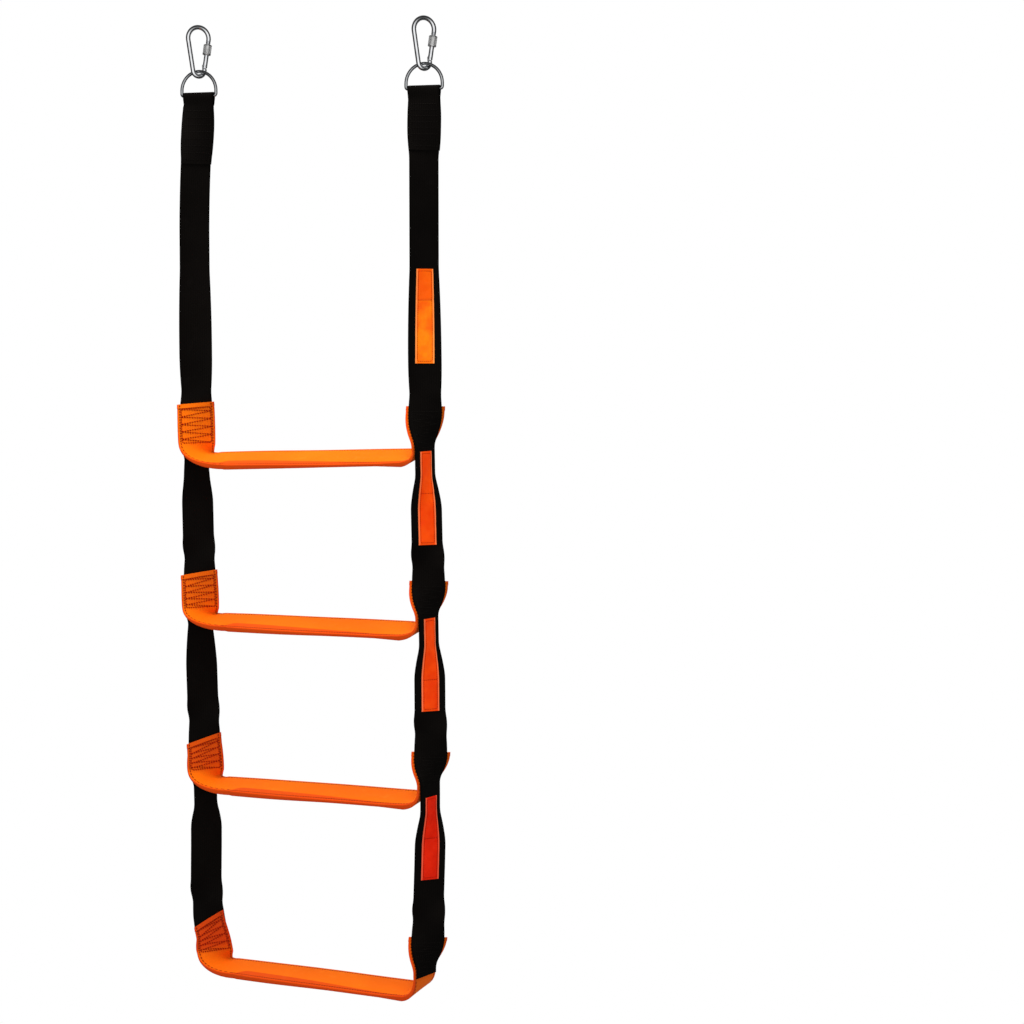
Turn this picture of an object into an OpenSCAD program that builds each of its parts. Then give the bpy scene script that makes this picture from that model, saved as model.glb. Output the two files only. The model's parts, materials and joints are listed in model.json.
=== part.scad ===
// Webbing escape ladder: two side straps, four rungs, two D-rings and two screw-gate hooks.
// Millimetres. +Z is up, +X runs along the rungs, -Y is the climbing side.
// The origin is halfway between the two hanging points, at the inner top of the hooks.

/* [Ladder] */
// Sideways distance between the middles of the two straps
strap_spacing = 366; // [300:420]
// How far each rung hangs below the hanging line
rung_drop = [648, 899, 1148, 1430];
// How far above its rung each strap can fold
fold_rise = 104; // [90:120]
// Half of the gap that is left at a fold
fold_gap = 2; // [1:0.5:4]

/* [Side straps] */
// Sideways wander of the left strap, at heights below the hanging line
left_sway = [[-110, 0], [-250, -9], [-600, -10], [-930, -5], [-1190, 2], [-1430, 0]];
// Sideways wander of the right strap, at heights below the hanging line
right_sway = [[-110, 0], [-600, 0], [-930, 7], [-1190, 8], [-1420, 0]];
// Width of the side straps
strap_width = 50; // [25:60]
// Thickness of one layer of strap
strap_thick = 2.4; // [1.5:0.1:4]
// Depth below the hanging line where the sewn-back end of a strap stops
tail_drop = 194; // [150:250]
// Turn of a strap where it passes a rung, from facing forward
waist_turn = 78; // [60:90]
// How far the left strap turns below each rung
left_turn = [65, 58, 74, 65];
// Turn of a strap at the top of a rung's tab
tab_turn = 18; // [0:45]
// Turn of a strap halfway between two rungs
middle_turn = 46; // [0:60]
// Turn of a strap below its sewn-back end
upper_turn = 54; // [0:60]

/* [Rungs] */
// Width of the rung webbing
rung_width = 58; // [40:70]
// Thickness of the folded tread
tread_thick = 8; // [6:12]
// Thickness of a tab
tab_thick = 2.6; // [2:0.1:4]
// Height of each rung's tabs above its tread
tab_rise = [80, 73, 71, 76];
// Forward tilt of each tread
tread_roll = [18, 16, 13, 11];
// How far each tread's left end stands above its rung height
left_lift = [1, 6, 3, 2];
// How far each tread's right end stands above its rung height
right_lift = [12, 6, 2, -6];
// Height of the bend between tread and tab
bend_rise = 24; // [15:35]
// How far that bend swings out from the strap
bend_swing = 6; // [0:10]
// Distance from the left strap's middle to the straight part of each tread
left_run = [30, 34, 38, 48];
// How far the left end of each tread is cut on the skew
left_skew = [30, 30, 30, 22];
// Distance from the right strap's middle to the straight part of each tread
right_run = [28, 32, 26, 30];
// Length, width and thickness of the slat inside a rung
slat_size = [230, 50, 4];

/* [Reflective patches] */
// How far the top of each patch hangs below the hanging line
patch_drop = [359, 626, 873, 1139];
// Length of each patch
patch_length = [138, 138, 138, 125];
// Width of a patch
patch_width = 28; // [20:40]
// Thickness of a patch
patch_thick = 0.8; // [0.5:0.1:2]
// Gap between two sewn layers
layer_gap = 0.5; // [0.1:0.1:0.8]

/* [D-rings] */
// Wire diameter of a D-ring
ring_wire = 5; // [4:0.5:6]
// Inner width of a D-ring
ring_inner = 52; // [50:60]
// Radius of the corners, on the wire's centre line
ring_corner = 3.4; // [3:0.2:6]
// Straight length of a D-ring's side
ring_side = 4.2; // [2:0.2:10]
// Depth of a D-ring's top wire below the hanging line
ring_drop = 62.2; // [60:0.1:64]

/* [Screw-gate hooks] */
// Overall length of a hook
hook_length = 80; // [60:100]
// Overall width of a hook
hook_width = 40; // [30:50]
// Wire diameter of a hook
hook_wire = 7; // [6:9]
// Inner radius of the hook's narrow end
narrow_inner = 5.6; // [5:0.1:8]
// Turn of a hook about its upright axis
hook_turn = 50; // [0:90]
// Length of the fixed nose below the wide arc
nose_length = 5; // [3:8]
// Distance from the wide arc to the gate's pivot
pivot_run = 39; // [30:45]
// Radius of the gate's pivot pin
pin_radius = 1.1; // [0.8:0.1:1.5]
// Radial clearance of the gate on its pin and of the nut on the gate
running_gap = 0.05; // [0.01:0.01:0.1]
// Thickness of the tongue that the gate's fork straddles
tongue_thick = 2.4; // [2:0.1:3]
// Width of the slot in the gate
slot_width = 3; // [2.5:0.1:4]
// Outer radius of the locking nut
nut_radius = 6.25; // [5:0.25:8]
// Length of the locking nut
nut_length = 16; // [10:20]
// Distance from the wide arc to the unlocked nut
nut_run = 6.3; // [6:0.1:8]

/* [Hidden] */
$fn = 48;

left = -1;
right = 1;
steel = [0.78, 0.79, 0.8];
black_webbing = [0.06, 0.055, 0.05];
orange_webbing = [1, 0.4, 0.05];
slat_grey = [0.25, 0.25, 0.26];
patch_orange = [1, 0.3, 0.05];

// Hook: the centre lines of its wide and narrow arcs, and the slope of its sides.
hook_radius = hook_wire / 2;
wide_radius = hook_width / 2 - hook_radius;
wide_z = -(wide_radius - hook_radius);
narrow_radius = narrow_inner + hook_radius;
narrow_z = hook_radius * 2 - hook_length + narrow_radius + hook_radius;
side_slope = asin((wide_radius - narrow_radius) / (wide_z - narrow_z));
side_length = sqrt(pow(wide_z - narrow_z, 2) - pow(wide_radius - narrow_radius, 2));
// The bent parts are a hair thinner, and their ends sit inside the straight sides.
bend_wire = hook_radius - 0.05;
arc_seat = 2;
shoulder_run = pivot_run + 4;
cheek_radius = hook_radius + 0.1;
cam_radius = 3.4;
cam_offset = 1.2;
slot_reach = 4.3;
bore_radius = 1.5;
bore_length = 16;
plunger_radius = 1.3;
plunger_length = 4;
plunger_reach = 3.55;
plunger_room = 1;
gate_gap = 0.5;

// D-ring: the centre lines of its arc, sides and bar.
ring_radius = ring_inner / 2 + ring_wire / 2;
arc_z = -ring_drop - ring_radius;
corner_z = arc_z - ring_side;
bar_z = corner_z - ring_corner;
bar_half = ring_radius - ring_corner;

// Strap: heights along it and its turn at those heights.
loop_inner = ring_wire / 2 + 0.3;
loop_outer = loop_inner + strap_thick;
loop_foot = bar_z - 16;
first_fold = fold_rise - rung_drop[0];
last_end = 20 - rung_drop[3];
ring_step = 4;

function fold_z(i) = fold_rise - rung_drop[i - 1];
function rung_z(i) = -rung_drop[i - 1];
function on_grid(z) = round(z / ring_step) * ring_step;
function tab_top_z(i) = on_grid(rung_z(i) + tab_rise[i - 1]);
function bend_top_z(i) = on_grid(rung_z(i) + bend_rise);
function waist_stops(side, i) = side < 0
  ? [[rung_z(i) + 36, 36], [rung_z(i) + 8, 76], [rung_z(i) - 30, left_turn[i - 1]]]
  : [[rung_z(i) + 34, waist_turn], [rung_z(i) - 16, waist_turn]];
function rung_stops(side, i) = concat(
  [[fold_z(i), 0], [rung_z(i) + tab_rise[i - 1], tab_turn]],
  waist_stops(side, i),
  [[rung_z(i) - 60, middle_turn]],
  [[i < 4 ? fold_z(i + 1) + 30 : rung_z(i) - 80, middle_turn]]
);
function turn_stops(side) = concat(
  [[loop_foot, 0], [-tail_drop, upper_turn], [-patch_drop[0], upper_turn]],
  [[first_fold + 60, 26]],
  [for (i = [1:4]) each rung_stops(side, i)]
);
left_stops = turn_stops(left);
right_stops = turn_stops(right);

function turn_at(side, z) = lookup(z, side < 0 ? left_stops : right_stops);
function side_x(side, z) =
  side * strap_spacing / 2 + lookup(z, side < 0 ? left_sway : right_sway);
function across_at(a) = [cos(a), sin(a), 0];
function outward_at(a) = [sin(a), -cos(a), 0];

// A flat cross-section: its four corners, and the middle of each broad face.
function corners(c, a, b) = [c - a - b, c - b, c + a - b, c + a + b, c + b, c - a + b];

// One cross-section of something that lies on a strap, off its reference face.
function strap_ring(side, z, off, wide, thick) =
  let (a = turn_at(side, z))
  corners(
    [side_x(side, z), 0, z] + outward_at(a) * off,
    across_at(a) * wide / 2,
    outward_at(a) * thick / 2
  );

// Heights from high to low, on one grid for every piece so that layers stay parallel.
function levels(high, low) =
  let (
    first = floor(-high / ring_step + 0.3) + 1,
    last = ceil(-low / ring_step - 0.3) - 1
  )
  concat([high], [for (k = [first:last]) -k * ring_step], [low]);

// Bend between a tab and its tread, from 0 at the tab to 1 at the tread.
function bend_start(side, i, off) =
  let (z = bend_top_z(i))
  [side_x(side, z), 0, z] + outward_at(turn_at(side, z)) * off;
function tread_end(side, i) = [
  side * (strap_spacing / 2 - (side < 0 ? left_run : right_run)[i - 1]),
  0,
  rung_z(i) + (side < 0 ? left_lift : right_lift)[i - 1]
];
function bend_point(side, i, off, u) =
  let (
    high = bend_start(side, i, off),
    end = tread_end(side, i),
    knee = [high[0] - side * bend_swing, high[1], end[2]]
  )
  high * pow(1 - u, 2) + knee * 2 * u * (1 - u) + end * pow(u, 2);
function bend_slope(side, i, off, u) =
  let (
    high = bend_start(side, i, off),
    end = tread_end(side, i),
    knee = [high[0] - side * bend_swing, high[1], end[2]],
    d = (knee - high) * (1 - u) + (end - knee) * u
  )
  -side * d / norm(d);
function bend_ring(side, i, off, u) =
  let (
    from = turn_at(side, bend_top_z(i)),
    to = side < 0 ? 90 + left_skew[i - 1] : 90,
    a = from + (to - from) * u,
    r = tread_roll[i - 1] * u,
    wide = [cos(a), sin(a) * cos(r), sin(a) * sin(r)],
    up = cross(bend_slope(side, i, off, u), wide)
  )
  corners(
    bend_point(side, i, off, u),
    wide * rung_width / 2,
    up / norm(up) * (tab_thick + (tread_thick - tab_thick) * u * u) / 2
  );

// The rung's cross-sections, down the left tab, along the tread and up the right tab.
left_tab_off = layer_gap + tab_thick / 2;
right_tab_off = -(strap_thick + layer_gap + tab_thick / 2);
bend_steps = 8;
function tab_rings(side, i, off) =
  [for (z = levels(tab_top_z(i), bend_top_z(i)))
    strap_ring(side, z, off, rung_width, -side * tab_thick)];
function bend_rings(side, i, off) =
  [for (k = [1:bend_steps]) bend_ring(side, i, off, k / bend_steps)];
function turned_round(list) = [for (k = [len(list) - 1:-1:0]) list[k]];
function rung_rings(i) = concat(
  tab_rings(left, i, left_tab_off),
  bend_rings(left, i, left_tab_off),
  turned_round(bend_rings(right, i, right_tab_off)),
  turned_round(tab_rings(right, i, right_tab_off))
);

// A closed solid through a row of cross-sections. Broad faces are always cut along the same
// diagonals of the twisted strip, so that it is equally thick and layers stay parallel.
function middle_z(r) = (r[1] + r[4])[2] / 2;
module swept(rings) {
  n = len(rings[0]);
  last = n * (len(rings) - 1);
  polyhedron(
    points = [for (r = rings) each r],
    faces = concat(
      [[for (k = [0:n - 1]) k]],
      [for (i = [0:len(rings) - 2]) for (k = [0:n - 1])
        let (
          a = n * i + k,
          b = n * i + (k + 1) % n,
          falls = middle_z(rings[i]) >= middle_z(rings[i + 1])
        )
        each (k < n / 2) == falls
          ? [[a, a + n, b + n], [a, b + n, b]]
          : [[a, a + n, b], [b, a + n, b + n]]],
      [[for (k = [n - 1:-1:0]) last + k]]
    )
  );
}

module ribbon(side, high, low, off, wide, thick) {
  swept([for (z = levels(high, low)) strap_ring(side, z, off, wide, thick)]);
}

module at_side(side) {
  translate([side * strap_spacing / 2, 0, 0])
    children();
}

// ---- Straps ----

// The end of a strap that goes round the D-ring's bar.
module strap_loop(side) {
  at_side(side)
    translate([-strap_width / 2, 0, bar_z])
      rotate([90, 0, 90])
        linear_extrude(strap_width)
          difference() {
            union() {
              circle(loop_outer);
              polygon([
                [-loop_outer, 0], [loop_outer, 0],
                [strap_thick, loop_foot - bar_z], [-strap_thick, loop_foot - bar_z]
              ]);
            }
            circle(loop_inner);
          }
}

module upper_strap(side) {
  strap_loop(side);
  ribbon(side, loop_foot + 0.5, -tail_drop, 0, strap_width, 2 * strap_thick);
  ribbon(side, -tail_drop + 0.5, first_fold + fold_gap, -strap_thick / 2, strap_width, strap_thick);
}

module lower_strap(side, i) {
  low = i < 4 ? fold_z(i + 1) + fold_gap : last_end;
  ribbon(side, fold_z(i) - fold_gap, low, -strap_thick / 2, strap_width, strap_thick);
}

module strap_left_0() { color(black_webbing) upper_strap(left); }
module strap_left_1() { color(black_webbing) lower_strap(left, 1); }
module strap_left_2() { color(black_webbing) lower_strap(left, 2); }
module strap_left_3() { color(black_webbing) lower_strap(left, 3); }
module strap_left_4() { color(black_webbing) lower_strap(left, 4); }
module strap_right_0() { color(black_webbing) upper_strap(right); }
module strap_right_1() { color(black_webbing) lower_strap(right, 1); }
module strap_right_2() { color(black_webbing) lower_strap(right, 2); }
module strap_right_3() { color(black_webbing) lower_strap(right, 3); }
module strap_right_4() { color(black_webbing) lower_strap(right, 4); }

// ---- Rungs ----

module slat(i) {
  from = tread_end(left, i);
  slope = (tread_end(right, i) - from) / (tread_end(right, i)[0] - from[0]);
  translate(from - slope * from[0])
    rotate([tread_roll[i - 1], -atan(slope[2]), 0])
      cube(slat_size, center = true);
}

module rung(i) {
  difference() {
    swept(rung_rings(i));
    slat(i);
  }
}

module rung_1() { color(orange_webbing) rung(1); }
module rung_2() { color(orange_webbing) rung(2); }
module rung_3() { color(orange_webbing) rung(3); }
module rung_4() { color(orange_webbing) rung(4); }
module slat_1() { color(slat_grey) slat(1); }
module slat_2() { color(slat_grey) slat(2); }
module slat_3() { color(slat_grey) slat(3); }
module slat_4() { color(slat_grey) slat(4); }

// ---- Reflective patches, on the outer face of each strap ----

module patch(side, i) {
  lift = layer_gap + patch_thick / 2;
  off = side < 0 ? -strap_thick - lift : lift;
  high = on_grid(-patch_drop[i - 1]);
  ribbon(side, high, on_grid(high - patch_length[i - 1]), off, patch_width, patch_thick);
}

module patch_left_1() { color(patch_orange) patch(left, 1); }
module patch_left_2() { color(patch_orange) patch(left, 2); }
module patch_left_3() { color(patch_orange) patch(left, 3); }
module patch_left_4() { color(patch_orange) patch(left, 4); }
module patch_right_1() { color(patch_orange) patch(right, 1); }
module patch_right_2() { color(patch_orange) patch(right, 2); }
module patch_right_3() { color(patch_orange) patch(right, 3); }
module patch_right_4() { color(patch_orange) patch(right, 4); }

// ---- D-rings ----

// Part of a bent wire in the XZ plane, from one angle through another.
module wire_arc(radius, thick, from, through) {
  rotate([90, 0, 0])
    rotate([0, 0, from])
      rotate_extrude(angle = through)
        translate([radius, 0])
          circle(thick);
}

module ring_flank(mirrored) {
  wire = ring_wire / 2;
  mirror([mirrored, 0, 0]) {
    translate([ring_radius, 0, corner_z])
      cylinder(h = ring_side, r = wire);
    translate([bar_half, 0, corner_z])
      wire_arc(ring_corner, wire, -90, 90);
  }
}

module ring(side) {
  at_side(side) {
    translate([0, 0, arc_z])
      wire_arc(ring_radius, ring_wire / 2, 0, 180);
    ring_flank(0);
    ring_flank(1);
    translate([-bar_half, 0, bar_z])
      rotate([0, 90, 0])
        cylinder(h = 2 * bar_half, r = ring_wire / 2);
  }
}

module ring_left() { color(steel) ring(left); }
module ring_right() { color(steel) ring(right); }

// ---- Screw-gate hooks ----

module at_hook(side) {
  at_side(side)
    rotate([0, 0, hook_turn])
      children();
}

// Starts at the end of the wide arc and runs down one side: local +Z is down the side and
// local +X is towards the inside of the hook.
module down_side() {
  translate([wide_radius * cos(side_slope), 0, wide_z - wide_radius * sin(side_slope)])
    rotate([0, 180 + side_slope, 0])
      children();
}

// The ear that the gate's fork turns on.
module tongue() {
  translate([0, tongue_thick / 2, 0])
    rotate([90, 0, 0])
      linear_extrude(tongue_thick)
        union() {
          translate([cam_offset, pivot_run])
            circle(cam_radius);
          translate([cam_offset - cam_radius, pivot_run])
            square([2 * cam_radius - cam_offset, shoulder_run + 1 - pivot_run]);
        }
}

module pin_hole(radius) {
  translate([0, 0, pivot_run])
    rotate([90, 0, 0])
      cylinder(h = 4 * hook_radius, r = radius, center = true);
}

module hook(side) {
  at_hook(side) {
    translate([0, 0, wide_z])
      wire_arc(
        wide_radius, bend_wire, -side_slope - arc_seat, 180 + 2 * (side_slope + arc_seat)
      );
    translate([0, 0, narrow_z])
      wire_arc(
        narrow_radius, bend_wire, 180 + side_slope - 2 * arc_seat,
        180 - 2 * side_slope + 4 * arc_seat
      );
    mirror([1, 0, 0])
      down_side()
        cylinder(h = side_length, r = hook_radius);
    down_side() {
      cylinder(h = nose_length, r = hook_radius);
      translate([0, 0, shoulder_run])
        cylinder(h = side_length - shoulder_run, r = hook_radius);
      difference() {
        tongue();
        pin_hole(pin_radius);
      }
    }
  }
}

module gate(side) {
  top = nose_length + gate_gap;
  at_hook(side)
    down_side()
      difference() {
        union() {
          translate([0, 0, top])
            cylinder(h = pivot_run - top, r = hook_radius);
          intersection() {
            translate([0, 0, pivot_run])
              cylinder(h = 2 * hook_radius, r = hook_radius);
            pin_hole(cheek_radius);
          }
        }
        translate([-2 * hook_radius, -slot_width / 2, pivot_run - slot_reach])
          cube([4 * hook_radius, slot_width, 3 * hook_radius]);
        translate([0, 0, pivot_run - slot_reach - bore_length])
          cylinder(h = bore_length + 1, r = bore_radius);
        pin_hole(pin_radius + running_gap);
      }
}

module gate_pin(side) {
  at_hook(side)
    down_side()
      translate([0, 0, pivot_run])
        rotate([90, 0, 0])
          cylinder(h = 2 * hook_radius - 0.6, r = pin_radius, center = true);
}

// The plunger's tip rests on the tongue, and the spring behind it shuts the gate.
module plunger(side) {
  at_hook(side)
    down_side()
      translate([0, 0, pivot_run - plunger_reach - plunger_length])
        cylinder(h = plunger_length, r = plunger_radius);
}

module gate_spring(side) {
  low = pivot_run - plunger_reach - plunger_length - plunger_room;
  high = pivot_run - slot_reach - bore_length + 0.2;
  at_hook(side)
    down_side()
      translate([0, 0, high])
        difference() {
          cylinder(h = low - high, r = plunger_radius);
          translate([0, 0, -1])
            cylinder(h = low - high + 2, r = plunger_radius - 0.5);
        }
}

module nut(side) {
  inner = hook_radius + running_gap;
  edge = 1;
  at_hook(side)
    down_side()
      translate([0, 0, nut_run])
        rotate_extrude()
          polygon([
            [inner, 0], [nut_radius - edge, 0], [nut_radius, edge],
            [nut_radius, nut_length - edge], [nut_radius - edge, nut_length], [inner, nut_length]
          ]);
}

module hook_left() { color(steel) hook(left); }
module gate_left() { color(steel) gate(left); }
module gate_pin_left() { color(steel) gate_pin(left); }
module nut_left() { color(steel) nut(left); }
module gate_spring_left() { color(steel) gate_spring(left); }
module plunger_left() { color(steel) plunger(left); }
module hook_right() { color(steel) hook(right); }
module gate_right() { color(steel) gate(right); }
module gate_pin_right() { color(steel) gate_pin(right); }
module nut_right() { color(steel) nut(right); }
module gate_spring_right() { color(steel) gate_spring(right); }
module plunger_right() { color(steel) plunger(right); }

hook_left();
gate_left();
gate_pin_left();
nut_left();
gate_spring_left();
plunger_left();
ring_left();
hook_right();
gate_right();
gate_pin_right();
nut_right();
gate_spring_right();
plunger_right();
ring_right();
strap_left_0();
strap_left_1();
strap_left_2();
strap_left_3();
strap_left_4();
strap_right_0();
strap_right_1();
strap_right_2();
strap_right_3();
strap_right_4();
rung_1();
rung_2();
rung_3();
rung_4();
slat_1();
slat_2();
slat_3();
slat_4();
patch_left_1();
patch_left_2();
patch_left_3();
patch_left_4();
patch_right_1();
patch_right_2();
patch_right_3();
patch_right_4();
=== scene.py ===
# %% [markdown]
# # A webbing escape ladder
#
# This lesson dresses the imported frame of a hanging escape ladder: two black webbing side
# straps, four stiffened orange rungs, a D-ring and a screw-gate hook at the top of each
# strap, and reflective patches. Everything is in metres. +Z is up, +X runs along the rungs
# and -Y is the climbing side. The origin is halfway between the two hanging points.

import json
import math

import bmesh
import bpy
import numpy as np
from mathutils import Vector
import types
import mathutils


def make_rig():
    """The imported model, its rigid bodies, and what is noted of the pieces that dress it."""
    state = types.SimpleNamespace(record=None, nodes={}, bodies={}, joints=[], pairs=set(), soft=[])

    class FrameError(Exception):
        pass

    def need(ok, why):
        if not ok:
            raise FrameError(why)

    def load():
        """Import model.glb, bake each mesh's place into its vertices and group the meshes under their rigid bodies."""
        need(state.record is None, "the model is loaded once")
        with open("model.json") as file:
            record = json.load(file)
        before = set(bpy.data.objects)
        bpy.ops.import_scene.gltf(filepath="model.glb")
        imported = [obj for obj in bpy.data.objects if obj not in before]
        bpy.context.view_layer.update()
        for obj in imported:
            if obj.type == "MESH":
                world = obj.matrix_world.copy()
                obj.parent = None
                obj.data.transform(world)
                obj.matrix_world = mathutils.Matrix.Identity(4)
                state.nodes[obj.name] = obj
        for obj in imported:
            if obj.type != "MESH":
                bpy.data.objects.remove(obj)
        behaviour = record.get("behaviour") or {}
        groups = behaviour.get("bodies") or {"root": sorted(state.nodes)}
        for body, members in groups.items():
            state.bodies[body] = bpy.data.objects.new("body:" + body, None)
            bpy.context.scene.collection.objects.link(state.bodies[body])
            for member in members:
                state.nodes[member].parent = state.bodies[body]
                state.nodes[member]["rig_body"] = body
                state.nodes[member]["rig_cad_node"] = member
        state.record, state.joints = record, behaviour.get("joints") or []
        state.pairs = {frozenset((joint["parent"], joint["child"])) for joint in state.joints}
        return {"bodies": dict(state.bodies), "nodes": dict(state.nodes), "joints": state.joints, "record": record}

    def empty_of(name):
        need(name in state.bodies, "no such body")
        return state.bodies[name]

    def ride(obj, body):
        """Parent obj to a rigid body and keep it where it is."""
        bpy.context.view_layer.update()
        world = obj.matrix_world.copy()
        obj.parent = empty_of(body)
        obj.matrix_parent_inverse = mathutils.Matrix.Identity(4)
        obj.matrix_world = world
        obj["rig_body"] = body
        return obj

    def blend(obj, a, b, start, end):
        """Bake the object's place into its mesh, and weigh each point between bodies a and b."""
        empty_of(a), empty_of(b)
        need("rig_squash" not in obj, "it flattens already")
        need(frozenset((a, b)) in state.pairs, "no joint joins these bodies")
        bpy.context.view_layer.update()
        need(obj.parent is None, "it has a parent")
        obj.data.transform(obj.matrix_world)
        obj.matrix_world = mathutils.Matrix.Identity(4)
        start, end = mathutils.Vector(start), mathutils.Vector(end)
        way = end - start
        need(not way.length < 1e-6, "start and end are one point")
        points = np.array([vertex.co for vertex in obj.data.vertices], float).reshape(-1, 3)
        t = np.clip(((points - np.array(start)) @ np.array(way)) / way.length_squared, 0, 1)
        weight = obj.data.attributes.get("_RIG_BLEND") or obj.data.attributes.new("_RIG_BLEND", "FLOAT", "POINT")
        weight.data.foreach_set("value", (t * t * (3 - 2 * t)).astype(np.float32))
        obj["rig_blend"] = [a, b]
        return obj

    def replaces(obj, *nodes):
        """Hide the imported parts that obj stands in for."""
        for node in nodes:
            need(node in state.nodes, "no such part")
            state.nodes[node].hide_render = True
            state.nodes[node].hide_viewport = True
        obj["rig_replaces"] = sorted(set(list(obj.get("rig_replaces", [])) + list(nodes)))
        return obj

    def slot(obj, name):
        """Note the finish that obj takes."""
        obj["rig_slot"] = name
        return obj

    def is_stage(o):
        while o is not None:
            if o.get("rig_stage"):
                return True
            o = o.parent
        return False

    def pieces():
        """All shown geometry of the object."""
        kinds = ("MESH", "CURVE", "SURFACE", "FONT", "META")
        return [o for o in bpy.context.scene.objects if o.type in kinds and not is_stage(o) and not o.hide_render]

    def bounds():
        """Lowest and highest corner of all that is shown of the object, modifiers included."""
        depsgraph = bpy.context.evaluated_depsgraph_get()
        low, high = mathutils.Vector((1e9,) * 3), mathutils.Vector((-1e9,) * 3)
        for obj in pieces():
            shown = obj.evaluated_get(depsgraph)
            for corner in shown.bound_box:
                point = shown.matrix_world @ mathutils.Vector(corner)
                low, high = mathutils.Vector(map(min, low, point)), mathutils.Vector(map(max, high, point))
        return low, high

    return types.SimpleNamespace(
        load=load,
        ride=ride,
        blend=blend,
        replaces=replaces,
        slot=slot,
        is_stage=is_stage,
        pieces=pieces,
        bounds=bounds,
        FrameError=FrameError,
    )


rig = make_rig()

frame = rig.load()
with open("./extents.json", "w") as handle:
    json.dump({"frame": [list(map(float, corner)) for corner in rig.bounds()]}, handle)
print("bodies:", sorted(frame["bodies"]))

# %% [markdown]
# ## Camera
#
# The camera comes first, so that every later cell can be rendered as soon as it runs. It
# stands to the right of the ladder, a little above its middle, and looks slightly down.

# %% Camera
camera = bpy.data.cameras.new("camera")
camera.lens = 90.66
camera.sensor_width = 36
camera_object = bpy.data.objects.new("camera", camera)
camera_object.location = (1.629, -3.500, -0.414)
camera_object.rotation_euler = (math.radians(90 - 4.555), 0, math.radians(20.515))
bpy.context.scene.collection.objects.link(camera_object)
bpy.context.scene.camera = camera_object
print("camera lens:", camera.lens)

# %% [markdown]
# ## Driving sizes
#
# The heights of the folds and hinges come from the frame's own joints, so the picture
# follows the mechanism. The rest are the sizes of stock 50 mm webbing and its fittings.

# %% Driving sizes
JOINTS = {joint["name"]: joint for joint in frame["joints"]}
SIDES = {"left": -1, "right": 1}
RUNGS = (1, 2, 3, 4)
HALF_SPACING = -JOINTS["ring_left_on_hook"]["pos_m"][0]
FOLD_Z = {i: JOINTS[f"fold_{i}"]["pos_m"][2] for i in RUNGS}
BAR_Z = JOINTS["straps_on_ring_left"]["pos_m"][2]
RING_TOP_Z = JOINTS["ring_left_on_hook"]["pos_m"][2]
FOLD_RISE = 0.104
RUNG_Z = {i: FOLD_Z[i] - FOLD_RISE for i in RUNGS}
TAB_RISE = {1: 0.080, 2: 0.073, 3: 0.071, 4: 0.076}
TAB_SPARE = {1: 0.008, 2: 0.008, 3: 0.004, 4: 0.001}
LEFT_RUN = {1: 0.030, 2: 0.034, 3: 0.038, 4: 0.048}
LEFT_SKEW = {1: 30, 2: 30, 3: 30, 4: 22}
RIGHT_RUN = {1: 0.028, 2: 0.032, 3: 0.026, 4: 0.030}
PATCH_TOP = {1: -0.359, 2: -0.626, 3: -0.873, 4: -1.139}
PATCH_LENGTH = {1: 0.138, 2: 0.138, 3: 0.138, 4: 0.125}
STRAP_WIDTH = 0.050
STRAP_THICK = 0.0024
RUNG_WIDTH = 0.058
TAB_THICK = 0.0026
TREAD_THICK = 0.008
TREAD_ROLL = {1: 18, 2: 16, 3: 13, 4: 11}
LEFT_LIFT = {1: 0.001, 2: 0.006, 3: 0.003, 4: 0.002}
RIGHT_LIFT = {1: 0.012, 2: 0.006, 3: 0.002, 4: -0.006}
TAB_SLANT = {1: 5, 2: 10, 3: 20, 4: 30}
HEM = 0.006
BEND_RISE = 0.024
PATCH_WIDTH = 0.028
LAYER_GAP = 0.0005
TAIL_Z = -0.194
TAIL_END = {-1: -0.200, 1: -0.187}
LOOP_FOOT = BAR_Z - 0.016
STRAP_END = RUNG_Z[4] + 0.020
LEFT_SWAY = [(-0.110, 0), (-0.250, -0.009), (-0.600, -0.010), (-0.930, -0.005), (-1.190, 0.002),
             (-1.350, -0.001), (-1.430, 0.022)]
RIGHT_SWAY = [(-0.110, 0), (-0.600, 0), (-0.930, 0.007), (-1.190, 0.008), (-1.420, 0)]
WAIST_TURN = 78
LEFT_TURN = {1: 65, 2: 58, 3: 74, 4: 65}
TAB_TURN = 18
MIDDLE_TURN = 46
UPPER_TURN = 54
print("rung heights:", {i: round(z, 3) for i, z in RUNG_Z.items()})

# %% [markdown]
# ## How a strap hangs
#
# A strap faces forward at its D-ring and at each fold, and turns edge-on where it passes a
# rung. `turn_at` gives that turn at any height and `side_x` the strap's slow sideways wander.


# %% How a strap hangs
def stops_of_turn(side):
    stops = [(LOOP_FOOT, 0), (TAIL_Z, UPPER_TURN), (PATCH_TOP[1], UPPER_TURN), (FOLD_Z[1] + 0.060, 26)]
    for i in RUNGS:
        stops += [(FOLD_Z[i], 0), (RUNG_Z[i] + TAB_RISE[i], TAB_TURN), (RUNG_Z[i] - 0.060, MIDDLE_TURN)]
        if side < 0:
            stops += [(RUNG_Z[i] + 0.024, 40), (RUNG_Z[i] + 0.008, 74), (RUNG_Z[i] - 0.030, LEFT_TURN[i])]
        else:
            stops += [(RUNG_Z[i] + 0.034, WAIST_TURN), (RUNG_Z[i] - 0.016, WAIST_TURN)]
        low = FOLD_Z[i + 1] + 0.030 if i < 4 else RUNG_Z[i] - 0.080
        stops.append((low, MIDDLE_TURN))
    return sorted(stops)


TURN_STOPS = {side: stops_of_turn(side) for side in SIDES.values()}


def looked_up(stops, z):
    rising = sorted(stops)
    return float(np.interp(z, [s[0] for s in rising], [s[1] for s in rising]))


def softened(stops, z, reach=0.006):
    """The same value, averaged over a short stretch so that no kink shows."""
    return sum(looked_up(stops, z + reach * k) for k in (-1, -0.5, 0, 0.5, 1)) / 5


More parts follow.
